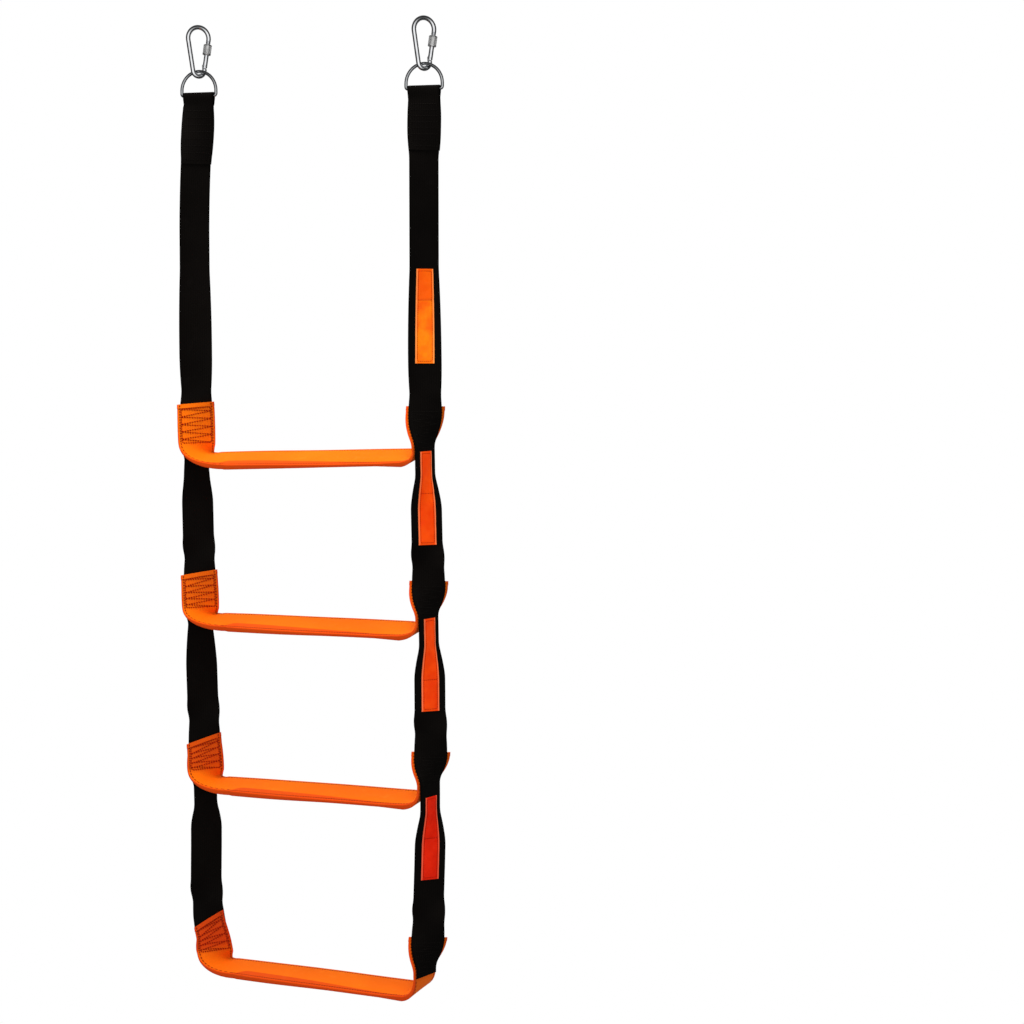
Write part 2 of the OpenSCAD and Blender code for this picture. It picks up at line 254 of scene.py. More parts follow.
def turn_at(side, z):
    return math.radians(softened(TURN_STOPS[side], z))


def side_x(side, z):
    return side * HALF_SPACING + softened(LEFT_SWAY if side < 0 else RIGHT_SWAY, z, 0.05)


def across_at(turn):
    return Vector((math.cos(turn), math.sin(turn), 0))


def outward_at(turn):
    return Vector((math.sin(turn), -math.cos(turn), 0))


def on_strap(side, z, along=0.0, off=0.0):
    """A point on a strap: off its middle line by along, and off its reference face by off."""
    turn = turn_at(side, z)
    return Vector((side_x(side, z), 0, z)) + across_at(turn) * along + outward_at(turn) * off


for z in (-0.30, FOLD_Z[1], RUNG_Z[1]):
    print("turn at", round(z, 3), "is", round(math.degrees(turn_at(1, z)), 1), "degrees")

# %% [markdown]
# ## Building meshes
#
# Every flat piece is a sweep: a rounded cross-section carried along a path of stations. A
# station holds a centre, the direction across the band, the direction out of its face, a
# width and a thickness. The sweep also writes a UV map in metres, across and along, which
# the weave shaders use.


# %% Building meshes
def new_mesh_object(name, vertices, faces, uvs=None):
    mesh = bpy.data.meshes.new(name)
    mesh.from_pydata([tuple(v) for v in vertices], [], faces)
    if uvs is not None:
        layer = mesh.uv_layers.new(name="Weave")
        loops = np.zeros(len(mesh.loops), np.int32)
        mesh.loops.foreach_get("vertex_index", loops)
        layer.data.foreach_set("uv", np.array(uvs, np.float32)[loops].ravel())
    mesh.update()
    obj = bpy.data.objects.new(name, mesh)
    bpy.context.scene.collection.objects.link(obj)
    return obj


def outward_normals(obj):
    work = bmesh.new()
    work.from_mesh(obj.data)
    bmesh.ops.recalc_face_normals(work, faces=work.faces)
    work.to_mesh(obj.data)
    work.free()
    return obj


def shade(obj, degrees=40):
    """Smooth shading, except across edges sharper than the angle."""
    obj.data.shade_smooth()
    obj.data.set_sharp_from_angle(angle=math.radians(degrees))
    return obj


EDGE_SHARE = 0.06
EDGE_BOXINESS = 0.4
STATION_STEP = 0.003


def flat_profile(columns, corner_steps=6):
    """A flat band's outline with rounded edges, as shares of its width and thickness."""
    flat = 1 - EDGE_SHARE
    top = [(x, 1.0) for x in np.linspace(flat, -flat, columns)]
    rounded = []
    for a in np.linspace(0, math.pi, corner_steps + 2)[1:-1]:
        x = -flat - EDGE_SHARE * math.sin(a) ** EDGE_BOXINESS
        rounded.append((x, math.copysign(abs(math.cos(a)) ** EDGE_BOXINESS, math.cos(a))))
    bottom = [(-x, -1.0) for x, _ in top]
    other = [(-x, -y) for x, y in rounded]
    return top + rounded + bottom + other


def flat_at(centre, across, out):
    """A flat surface: the point at a distance across and a distance out."""
    return lambda along, off: centre + across * along + out * off


def sweep(name, stations, columns=12, corner_steps=6):
    """A closed band through stations of (surface, width, thick, distance, taper).

    A surface is a function of the distance across and the distance out. The taper, which may
    be left out, is how much the band thins towards its front edge.
    """
    profile = flat_profile(columns, corner_steps)
    count = len(profile)
    vertices, uvs = [], []
    for surface, width, thick, distance, *taper in stations:
        rounding = min(1.0, thick / (EDGE_SHARE * width))
        for x, y in profile:
            thinned = (taper[0] if taper else 0.0) * min(1.0, max(0.0, (-x - 0.3) / 0.7)) ** 2
            reach = x
            if abs(x) > 1 - EDGE_SHARE:
                reach = math.copysign(1 - EDGE_SHARE + (abs(x) - 1 + EDGE_SHARE) * rounding, x)
            vertices.append(surface(reach * width / 2, y * (1 - thinned) * thick / 2))
            uvs.append((x * width / 2, distance))
    faces = []
    for ring in range(len(stations) - 1):
        a, b = ring * count, (ring + 1) * count
        for k in range(count):
            n = (k + 1) % count
            faces.append((a + k, a + n, b + n, b + k))
    last = (len(stations) - 1) * count
    faces.append(tuple(range(count - 1, -1, -1)))
    faces.append(tuple(range(last, last + count)))
    return shade(outward_normals(new_mesh_object(name, vertices, faces, uvs)), 50)


def strap_stations(side, high, low, off, width, thick):
    count = max(2, int(round((high - low) / STATION_STEP)))
    stations = []
    for z in np.linspace(high, low, count + 1):
        turn = turn_at(side, z)
        centre = Vector((side_x(side, z), 0, z)) + outward_at(turn) * off
        stations.append((flat_at(centre, across_at(turn), outward_at(turn)), width, thick, -z))
    return stations


print("band outline has", len(flat_profile(12)), "points")

# %% [markdown]
# ## Shader maths
#
# `Value` wraps a node socket so that shader maths reads like ordinary arithmetic. `Shader`
# makes the nodes of one material and offers one method for any other node.


# %% Shader maths
class Value:
    def __init__(self, shader, socket):
        self.shader = shader
        self.socket = socket

    def _math(self, operation, *others, flip=False):
        terms = [self, *others]
        if flip:
            terms.reverse()
        return self.shader.math(operation, *terms)

    def __add__(self, other):
        return self._math("ADD", other)

    def __radd__(self, other):
        return self._math("ADD", other)

    def __sub__(self, other):
        return self._math("SUBTRACT", other)

    def __rsub__(self, other):
        return self._math("SUBTRACT", other, flip=True)

    def __mul__(self, other):
        return self._math("MULTIPLY", other)

    def __rmul__(self, other):
        return self._math("MULTIPLY", other)

    def __neg__(self):
        return self._math("MULTIPLY", -1)

    def sin(self):
        return self._math("SINE")

    def abs(self):
        return self._math("ABSOLUTE")

    def fract(self):
        return self._math("FRACT")

    def power(self, exponent):
        return self._math("POWER", exponent)

    def above(self, limit):
        return self._math("GREATER_THAN", limit)

    def clamp(self):
        return self.shader.math("ADD", self, 0, clamp=True)

    def smooth(self, low, high):
        """0 below low and 1 above high, with a soft step between."""
        return self.shader.node("ShaderNodeMapRange", {"Value": self, "From Min": low, "From Max": high},
                                interpolation_type="SMOOTHSTEP")


class Shader:
    def __init__(self, name, owner=None, surface="Principled BSDF"):
        self.material = owner or bpy.data.materials.new(name)
        self.material.use_nodes = True
        self.tree = self.material.node_tree
        self.surface = self.tree.nodes[surface]

    def node(self, kind, inputs=None, output=0, **settings):
        made = self.tree.nodes.new(kind)
        for key, value in settings.items():
            setattr(made, key, value)
        for key, value in (inputs or {}).items():
            self.feed(made.inputs[key], value)
        return Value(self, made.outputs[output])

    def feed(self, socket, value):
        if isinstance(value, Value):
            self.tree.links.new(value.socket, socket)
        else:
            socket.default_value = value

    def math(self, operation, *terms, clamp=False):
        inputs = dict(enumerate(terms))
        return self.node("ShaderNodeMath", inputs, operation=operation, use_clamp=clamp)

    def axis(self, vector, name):
        return self.node("ShaderNodeSeparateXYZ", {0: vector}, output=name)

    def weave(self):
        """Distance across and along the band, in metres."""
        uv = self.node("ShaderNodeUVMap", uv_map="Weave")
        return self.axis(uv, "X"), self.axis(uv, "Y")

    def place(self):
        return self.node("ShaderNodeTexCoord", output="Object")

    def noise(self, scale, detail=3.0, roughness=0.55):
        inputs = {"Vector": self.place(), "Scale": scale, "Detail": detail, "Roughness": roughness}
        return self.node("ShaderNodeTexNoise", inputs)

    def mix(self, share, first, second):
        """A colour between two colours."""
        made = self.tree.nodes.new("ShaderNodeMix")
        made.data_type = "RGBA"
        self.feed(made.inputs["Factor"], share)
        self.feed(next(s for s in made.inputs if s.name == "A" and s.type == "RGBA"), first)
        self.feed(next(s for s in made.inputs if s.name == "B" and s.type == "RGBA"), second)
        return Value(self, next(s for s in made.outputs if s.type == "RGBA"))

    def bump(self, height, distance, strength=1.0):
        inputs = {"Height": height, "Distance": distance, "Strength": strength}
        self.set(Normal=self.node("ShaderNodeBump", inputs))

    def set(self, **values):
        for key, value in values.items():
            self.feed(self.surface.inputs[key.replace("_", " ")], value)
        return self


def rgb(red, green, blue):
    return (red, green, blue, 1.0)


print("shader helpers ready")

# %% [markdown]
# ## Webbing
#
# Woven webbing shows fine ribs across its length, broken into columns where the warp
# threads cross, with a smooth selvedge at each edge. Black and orange webbing share the
# weave and differ in colour, sheen and dirt.


# %% Webbing
def woven(name, dark, light, rib=0.0021, column=0.0034, depth=0.0003, half_width=0.025,
          roughness=0.8, sheen=0.3, blotch=0.25, gloss=0.2, edges=None, low_hue=None):
    shader = Shader(name)
    across, along = shader.weave()
    row = (along * (1 / rib) + (across * (0.5 / column)).fract().above(0.5) * 0.5).fract()
    ribs = (row * math.pi).sin()
    warp = (across * (math.pi / column)).sin().abs()
    selvedge = across.abs().smooth(half_width - 0.003, half_width - 0.0015)
    fuzz = shader.noise(900, 2.0)
    thread = ribs * 0.65 + warp * 0.35
    thread = thread * (1 - selvedge * 0.6) + fuzz * 0.2
    cloud = shader.noise(9, 4.0).smooth(0.35, 0.7)
    rub = shader.noise(60, 5.0).smooth(0.55, 0.75)
    share = (thread * 0.55 + cloud * blotch + rub * 0.12).clamp()
    colour = shader.mix(share, dark, light)
    if low_hue:
        # Painted shade: the orange turns darker and redder towards the bottom of the ladder, more on the tabs than on
        # the treads.
        painted_height_shade = (-shader.axis(shader.place(), "Z")).smooth(0.35, 1.55)
        tab = 1 - along.smooth(0.038, 0.056)
        colour = shader.mix(painted_height_shade * (tab * 0.65 + 0.12), colour, low_hue)
    if edges:
        # Painted shade: both side walls of the band are painted darker, and so is a wedge of the top at the front,
        # where the tread's front wall leans into view; the wedge narrows along the tread.
        lens = along.smooth(0.085, 0.120) * (1 - along.smooth(0.12, 0.44) * 0.9) * 0.016
        painted_wall_shade = (lens - across).smooth(half_width * 0.93, half_width * 0.95)
        painted_wall_shade = painted_wall_shade + across.smooth(half_width * 0.93, half_width * 0.95)
        colour = shader.mix(painted_wall_shade * 0.6, colour, low_hue)
        groove, holes = edges(shader)
        # The pressed groove and its needle holes take the stitch thread's dark red, deepened as painted shade in these
        # recesses.
        colour = shader.mix((groove * 0.35 + holes * 0.9).clamp(), colour, rgb(0.20, 0.010, 0.001))
        thread = thread - groove * 0.8 - holes * 0.8
    shader.set(Base_Color=colour)
    shader.set(Roughness=(rub * -0.08 + fuzz * 0.1 + roughness).clamp())
    shader.bump(thread, depth, 0.8)
    shader.set(Sheen_Weight=sheen, Sheen_Roughness=0.5, Specular_IOR_Level=gloss)
    return shader.material


def sewn_edges(shader, inset=0.0245, pitch=0.0042):
    """A pressed groove near both edges, and the needle holes along it."""
    across, along = shader.weave()
    groove = 1 - ((across.abs() - inset).abs() * (1 / 0.0017)).clamp()
    holes = groove * (along * (1 / pitch)).fract().above(0.45)
    return groove, holes


BLACK = woven("black_webbing", rgb(0.0010, 0.0008, 0.0007), rgb(0.0060, 0.0048, 0.0041), roughness=0.88,
              sheen=0.0, gloss=0.05)
# The last colour of the orange is its painted shade, used towards the bottom of the ladder and on the band's side
# walls.
ORANGE = woven("orange_webbing", rgb(0.86, 0.105, 0.001), rgb(1.0, 0.22, 0.002), rib=0.0019, column=0.003,
               depth=0.00028, half_width=0.029, roughness=0.74, sheen=0.0, blotch=0.2, gloss=0.12,
               edges=sewn_edges, low_hue=rgb(0.62, 0.022, 0.004))
print("webbing materials:", BLACK.name, ORANGE.name)

# %% [markdown]
# ## Steel and plastics
#
# The hooks and rings are polished wire, a little scuffed; the nuts are knurled zinc-plated
# steel. The slats inside the rungs and the springs are never seen but have finishes too.


# %% Steel and plastics
def metal(name, base, dark, rough, scratch=0.12, grain=400, bump=0.00003):
    shader = Shader(name)
    cloud = shader.noise(70, 4.0).smooth(0.35, 0.7)
    fine = shader.noise(grain, 3.0)
    shader.set(Base_Color=shader.mix((cloud * 0.6 + fine * 0.3).clamp(), base, dark))
    shader.set(Metallic=1.0, Roughness=(cloud * scratch + fine * 0.06 + rough).clamp())
    shader.bump(fine, bump, 0.5)
    return shader.material


POLISHED = metal("polished_steel", rgb(0.80, 0.81, 0.82), rgb(0.60, 0.61, 0.63), 0.07, 0.08)
RING_STEEL = metal("ring_steel", rgb(0.46, 0.47, 0.48), rgb(0.30, 0.31, 0.32), 0.12, 0.1)
NUT_STEEL = metal("nut_steel", rgb(0.72, 0.72, 0.71), rgb(0.50, 0.50, 0.50), 0.28, 0.15)
PIN_STEEL = metal("pin_steel", rgb(0.60, 0.61, 0.62), rgb(0.42, 0.42, 0.43), 0.3)
SPRING_STEEL = metal("spring_steel", rgb(0.34, 0.34, 0.35), rgb(0.2, 0.2, 0.21), 0.35)


def slat_material():
    shader = Shader("slat_plastic")
    grain = shader.noise(140, 4.0)
    shader.set(Base_Color=shader.mix(grain, rgb(0.05, 0.05, 0.055), rgb(0.09, 0.09, 0.095)))
    shader.set(Roughness=(grain * 0.2 + 0.45).clamp())
    shader.bump(grain, 0.0002, 0.4)
    return shader.material


def patch_material(name, low, high, rim, split=0.0):
    """Glossy film with a fine diamond grid, creases and a lighter sealed rim; redder above split. It glows faintly in
    its own colour, a painted light.
    """
    shader = Shader(name)
    across, along = shader.weave()
    pitch = 1 / 0.0030
    one = ((across + along) * (pitch * math.pi)).sin().abs()
    two = ((across - along) * (pitch * math.pi)).sin().abs()
    cells = (one * two).power(0.5)
    edge = across.abs().smooth(PATCH_WIDTH / 2 - 0.0024, PATCH_WIDTH / 2 - 0.0014)
    tint = shader.noise(16, 3.0).smooth(0.38, 0.62)
    crease = shader.noise(45, 4.0, roughness=0.65)
    above = 1 - along.smooth(split - 0.001, split + 0.001)
    share = tint * 0.5 + cells * 0.15 + crease.smooth(0.35, 0.65) * 0.45
    colour = shader.mix((share * (1 - above * 0.75)).clamp(), low, high)
    colour = shader.mix(edge * 0.75, colour, rim)
    # Painted light: the film glows faintly in its own colour, though it is no lamp.
    shader.set(Base_Color=colour, Emission_Color=colour, Emission_Strength=0.22)
    shader.set(Roughness=(crease * 0.2 + edge * 0.15 + 0.16).clamp())
    shader.bump(cells * 0.25 + crease * 1.3, 0.0006, 0.7)
    shader.set(Coat_Weight=0.02, Coat_Roughness=0.12, Specular_IOR_Level=0.06)
    return shader.material


SLAT = slat_material()
PATCH_HUES = {
    1: (rgb(0.90, 0.085, 0.002), rgb(1.0, 0.24, 0.003), rgb(1.0, 0.30, 0.07), 0.4045),
    2: (rgb(0.85, 0.045, 0.001), rgb(0.98, 0.085, 0.002), rgb(1.0, 0.24, 0.08)),
    3: (rgb(0.82, 0.035, 0.001), rgb(0.96, 0.070, 0.002), rgb(1.0, 0.22, 0.08)),
    4: (rgb(0.58, 0.008, 0.001), rgb(0.78, 0.018, 0.002), rgb(0.90, 0.13, 0.06)),
}
PATCH = {i: patch_material(f"reflective_patch_{i}", *hues) for i, hues in PATCH_HUES.items()}


def thread_material(name, dark, light):
    shader = Shader(name)
    twist = (shader.axis(shader.place(), "Z") * 2600).sin() * 0.5 + 0.5
    fuzz = shader.noise(700, 2.0)
    shader.set(Base_Color=shader.mix((twist * 0.5 + fuzz * 0.5).clamp(), dark, light))
    shader.set(Roughness=(fuzz * 0.2 + 0.6).clamp(), Specular_IOR_Level=0.08)
    shader.bump(twist + fuzz, 0.0001, 0.5)
    return shader.material


RED_THREAD = thread_material("dark_red_thread", rgb(0.20, 0.004, 0.001), rgb(0.40, 0.012, 0.001))
BLACK_THREAD = thread_material("black_thread", rgb(0.003, 0.0025, 0.002), rgb(0.011, 0.009, 0.008))

CAD_MATERIALS = {
    "hook": POLISHED, "gate": POLISHED, "gate_pin": PIN_STEEL, "plunger": PIN_STEEL,
    "gate_spring": SPRING_STEEL, "nut": NUT_STEEL, "ring": RING_STEEL, "strap": BLACK,
    "rung": ORANGE, "slat": SLAT, "patch": PATCH[1],
}
for node_name, node_object in frame["nodes"].items():
    family = max((key for key in CAD_MATERIALS if node_name.startswith(key)), key=len)
    node_object.data.materials.clear()
    node_object.data.materials.append(CAD_MATERIALS[family])
print("painted", len(frame["nodes"]), "frame nodes")


def finish_piece(obj, material, body, slot, nodes=()):
    """Paints a piece, lets it ride on a body and says which frame nodes it stands for."""
    obj.data.materials.clear()
    obj.data.materials.append(material)
    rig.slot(obj, slot)
    if nodes:
        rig.replaces(obj, *nodes)
    if body:
        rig.ride(obj, body)
    return obj


# %% [markdown] ## Side straps  Webbing bends where the frame has hinges. The top band is
# the loop round the D-ring's bar with its sewn-back tail.


# %% Side straps
SECTION = {0: "upper_straps", 1: "section_1", 2: "section_2", 3: "section_3", 4: "section_4"}
UPPER_CUT = FOLD_Z[1] + 0.030
CUTS = {0: UPPER_CUT, 1: RUNG_Z[1], 2: RUNG_Z[2], 3: RUNG_Z[3], 4: STRAP_END}
FOLD_REACH = 0.011


def eased(share):
    """A share from 0 to 1 that starts and ends slowly."""
    return share * share * (3 - 2 * share)


def loop_stations(side):
    """Down the back layer, round the bar and down the front layer to the tail's end."""
    half = STRAP_THICK / 2
    radius = 0.0028 + half
    x = side * HALF_SPACING
    level = Vector((1, 0, 0))
    stations = []

    def add(centre, across, out, width, distance):
        stations.append((flat_at(centre, across, out), width, STRAP_THICK, distance))

    for z in [*np.arange(UPPER_CUT, LOOP_FOOT, STATION_STEP), LOOP_FOOT]:
        turn = turn_at(side, z)
        centre = Vector((side_x(side, z), 0, z)) - outward_at(turn) * half
        add(centre, across_at(turn), outward_at(turn), STRAP_WIDTH, -z)
    for share in np.linspace(0, 1, 7)[1:-1]:
        ease = eased(share)
        z = LOOP_FOOT + (BAR_Z - LOOP_FOOT) * share
        add(Vector((x, half + (radius - half) * ease, z)), level, Vector((0, -1, 0)), STRAP_WIDTH, -z)
    for angle in np.linspace(0, math.pi, 13):
        centre = Vector((x, radius * math.cos(angle), BAR_Z + radius * math.sin(angle)))
        out = Vector((0, -math.cos(angle), -math.sin(angle)))
        add(centre, level, out, STRAP_WIDTH, -BAR_Z - radius * angle)
    distance = -BAR_Z - radius * math.pi
    for share in np.linspace(0, 1, 7)[1:-1]:
        ease = eased(share)
        z = BAR_Z + (LOOP_FOOT - BAR_Z) * share
        centre = Vector((x, -radius + (radius - half) * ease, z))
        add(centre, level, Vector((0, 1, 0)), STRAP_WIDTH, distance + z - BAR_Z)
    for z in np.linspace(LOOP_FOOT, TAIL_END[side], 28):
        turn = turn_at(side, z)
        centre = Vector((side_x(side, z), 0, z)) + outward_at(turn) * (half + 0.0001)
        add(centre, across_at(turn), -outward_at(turn), STRAP_WIDTH - 0.0006, distance + z - BAR_Z)
    return stations


STRAP_PIECES = []
for side_name, side in SIDES.items():
    top = sweep(f"strap_{side_name}_top", loop_stations(side), columns=14)
    finish_piece(top, BLACK, "upper_straps", "black_webbing", [f"strap_{side_name}_0"])
    STRAP_PIECES.append(top)
    for i in RUNGS:
        path = strap_stations(side, CUTS[i - 1], CUTS[i], -STRAP_THICK / 2, STRAP_WIDTH, STRAP_THICK)
        band = sweep(f"strap_{side_name}_fold_{i}", path, columns=14)
        finish_piece(band, BLACK, None, "black_webbing", [f"strap_{side_name}_{i}"])
        start = (0, 0, FOLD_Z[i] + FOLD_REACH)
        end = (0, 0, FOLD_Z[i] - FOLD_REACH)
        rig.blend(band, SECTION[i - 1], SECTION[i], start, end)
        STRAP_PIECES.append(band)
print("strap bands:", len(STRAP_PIECES))

# %% [markdown]
# ## Rungs
#
# A rung is one band of orange webbing round a stiff slat. Each end turns up as a tab that
# is sewn to a strap: in front of the left strap, behind the right one. The band's front edge
# sweeps round the outside of each bend, because the tab faces forward and the tread faces up.


# %% Rungs
LEFT_TAB_OFF = LAYER_GAP + TAB_THICK / 2
RIGHT_TAB_OFF = -(STRAP_THICK + LAYER_GAP + TAB_THICK / 2)
TAB_TOP = {i: RUNG_Z[i] + TAB_RISE[i] + TAB_SPARE[i] for i in RUNGS}


def tread_end(side, i):
    run = (LEFT_RUN if side < 0 else RIGHT_RUN)[i]
    lift = (LEFT_LIFT if side < 0 else RIGHT_LIFT)[i]
    return Vector((side * (HALF_SPACING - run), 0, RUNG_Z[i] + lift))


def slant_at(side, i, z):
    """A left tab is sewn on askew, more and more towards its top."""
    share = max(0.0, (z - RUNG_Z[i] - BEND_RISE) / (TAB_TOP[i] - RUNG_Z[i] - BEND_RISE))
    return math.radians(TAB_SLANT[i]) * min(1.0, share * 1.5) if side < 0 else 0.0


def on_tab(side, i, along, z, off):
    """A point over the strap that a tab is sewn to, at a distance along the tab's own slant."""
    slant = slant_at(side, i, z)
    return on_strap(side, z + along * math.sin(slant), along * math.cos(slant), off)


def bend_station(side, i, off, share, distance):
    """A station on the bend between a tab (share 0) and its tread (share 1)."""
    top = RUNG_Z[i] + BEND_RISE
    start_turn = turn_at(side, top)
    high = Vector((side_x(side, top), 0, top)) + outward_at(start_turn) * off
    end = tread_end(side, i)
    knee = Vector((high.x, high.y, end.z))
    centre = high * (1 - share) ** 2 + knee * 2 * share * (1 - share) + end * share ** 2
    slope = (knee - high) * (1 - share) + (end - knee) * share
    end_turn = math.radians(90 + (LEFT_SKEW[i] if side < 0 else 0))
    turn = start_turn + (end_turn - start_turn) * share
    across = tread_across(turn, math.radians(TREAD_ROLL[i]) * share)
    out = (slope * -side).cross(across).normalized()
    thick = TAB_THICK + (TREAD_THICK - TAB_THICK) * eased(share)
    return (flat_at(centre, across, out), RUNG_WIDTH, thick, distance)


def tread_across(turn, roll):
    return Vector((math.cos(turn), math.sin(turn) * math.cos(roll), math.sin(turn) * math.sin(roll)))


def tab_stations(side, i, off, base):
    """Down a tab from its folded hem, which is thicker on the outer side."""
    top = TAB_TOP[i]
    heights = [top, top - HEM, top - HEM - 0.0006]
    heights += list(np.linspace(top - HEM - 0.0030, RUNG_Z[i] + BEND_RISE, 22))
    stations = []
    for k, z in enumerate(heights):
        extra = 0.0012 if k < 2 else 0.0
        lift = off - side * extra / 2

        def surface(along, out, z=z, lift=lift):
            return on_tab(side, i, along, z, lift - side * out)

        stations.append((surface, RUNG_WIDTH, TAB_THICK + extra, base + side * (z - top)))
    return stations


def rung_stations(i):
    """Down the left tab, along the tread and up the right tab."""
    tab_length = TAB_TOP[i] - RUNG_Z[i] - BEND_RISE
    bend_length = 0.040
    stations = tab_stations(-1, i, LEFT_TAB_OFF, 0.0)
    for share in np.linspace(0, 1, 17)[1:]:
        stations.append(bend_station(-1, i, LEFT_TAB_OFF, share, tab_length + bend_length * share))
    start, end = tread_end(-1, i), tread_end(1, i)
    roll = math.radians(TREAD_ROLL[i])
    up = Vector((0, -math.sin(roll), math.cos(roll)))
    length = (end - start).length
    for share in np.linspace(0, 1, 64)[1:-1]:
        dip = 0.0003 * math.sin(7 * share + i) * math.sin(math.pi * share)
        thick = TREAD_THICK + 0.0012 * math.sin(math.pi * share) * (1 - share)
        taper = 0.45 * min(1.0, 1.7 * share) * min(1.0, (1 - share) * 8)
        skew = math.radians(LEFT_SKEW[i]) * max(0.0, 1 - share * 2.5)
        across = tread_across(math.pi / 2 + skew, roll) * (1 / math.cos(skew) ** 0.5)
        surface = flat_at(start.lerp(end, share) + Vector((0, 0, dip)), across, up)
        stations.append((surface, RUNG_WIDTH, thick, tab_length + bend_length + length * share, taper))
    base = tab_length + bend_length + length
    for share in np.linspace(1, 0, 17)[:-1]:
        stations.append(bend_station(1, i, RIGHT_TAB_OFF, share, base + bend_length * (1 - share)))
    return stations + tab_stations(1, i, RIGHT_TAB_OFF, base + bend_length + tab_length)[::-1]


RUNG_PIECES = []
for i in RUNGS:
    cover = sweep(f"rung_{i}_cover", rung_stations(i), columns=14)
    finish_piece(cover, ORANGE, SECTION[i], "orange_webbing", [f"rung_{i}"])
    RUNG_PIECES.append(cover)
print("rung covers:", len(RUNG_PIECES), "with", len(RUNG_PIECES[0].data.polygons), "faces each")

# %% [markdown]
# ## Reflective patches
#
# Each patch is a thin film with a sealed rim, a sewn groove inside it and one pressed seam
# across. It is built as a grid on the strap's outer face, with a faint ripple along it.


# %% Reflective patches
PATCH_SEAM = {1: 0.33, 2: 0.45, 3: 0.66, 4: 0.50}
PATCH_INSET = 0.0032
FILM_LIFT = 0.0010
FILM_DOME = 0.0004
GROOVE_DEPTH = 0.0004
SEAM_DEPTH = 0.0005
FILM_RIPPLE = 0.0001
FILM_BACK = 0.0002


def patch_grid(name, side, i, columns=18, rows=92):
    high = PATCH_TOP[i]
    length = PATCH_LENGTH[i]
    front, back, uvs = [], [], []
    face = 0.0 if side > 0 else -STRAP_THICK
    for r in range(rows + 1):
        v = r / rows
        z = high - length * v
        for c in range(columns + 1):
            u = c / columns * 2 - 1
            rim = min((1 - abs(u)) * PATCH_WIDTH / 2, v * length, (1 - v) * length)
            seam = abs(v - PATCH_SEAM[i]) * length
            lift = FILM_LIFT + FILM_DOME * min(1.0, rim / 0.004)
            lift -= GROOVE_DEPTH * max(0.0, 1 - abs(rim - PATCH_INSET) / 0.0008)
            lift -= SEAM_DEPTH * max(0.0, 1 - seam / 0.0012)
            lift += FILM_RIPPLE * math.sin(40 * v + 3 * u + i)
            across = u * PATCH_WIDTH / 2
            front.append(on_strap(side, z, across, face + side * lift))
            back.append(on_strap(side, z, across, face + side * FILM_BACK))
            uvs.append((across, -z))
    count = (rows + 1) * (columns + 1)
    faces = []
    wide = columns + 1
    for r in range(rows):
        for c in range(columns):
            a, b = r * wide + c, r * wide + c + 1
            faces.append((a, b, b + wide, a + wide))
            faces.append((count + a, count + a + wide, count + b + wide, count + b))
    border = list(range(wide))
    border += [r * wide + columns for r in range(1, rows + 1)]
    border += [rows * wide + c for c in range(columns - 1, -1, -1)]
    border += [r * wide for r in range(rows - 1, 0, -1)]
    for k, a in enumerate(border):
        b = border[(k + 1) % len(border)]
        faces.append((a, b, count + b, count + a))
    obj = new_mesh_object(name, front + back, faces, uvs + uvs)
    return shade(outward_normals(obj), 55)


PATCH_PIECES = []
for side_name, side in SIDES.items():
    for i in RUNGS:
        film = patch_grid(f"patch_{side_name}_{i}_film", side, i)
        finish_piece(film, PATCH[i], SECTION[i - 1], "reflective_patch", [f"patch_{side_name}_{i}"])
        PATCH_PIECES.append(film)
print("patches:", len(PATCH_PIECES))

# %% [markdown]
# ## Stitches
#
# One Geometry Nodes tree turns a row of points into thread. Each point carries the
# direction of its stitch and how long it is; an instance of a small rounded bead is
# stretched along it. The rows are laid out as lines on the straps, tabs and patches.


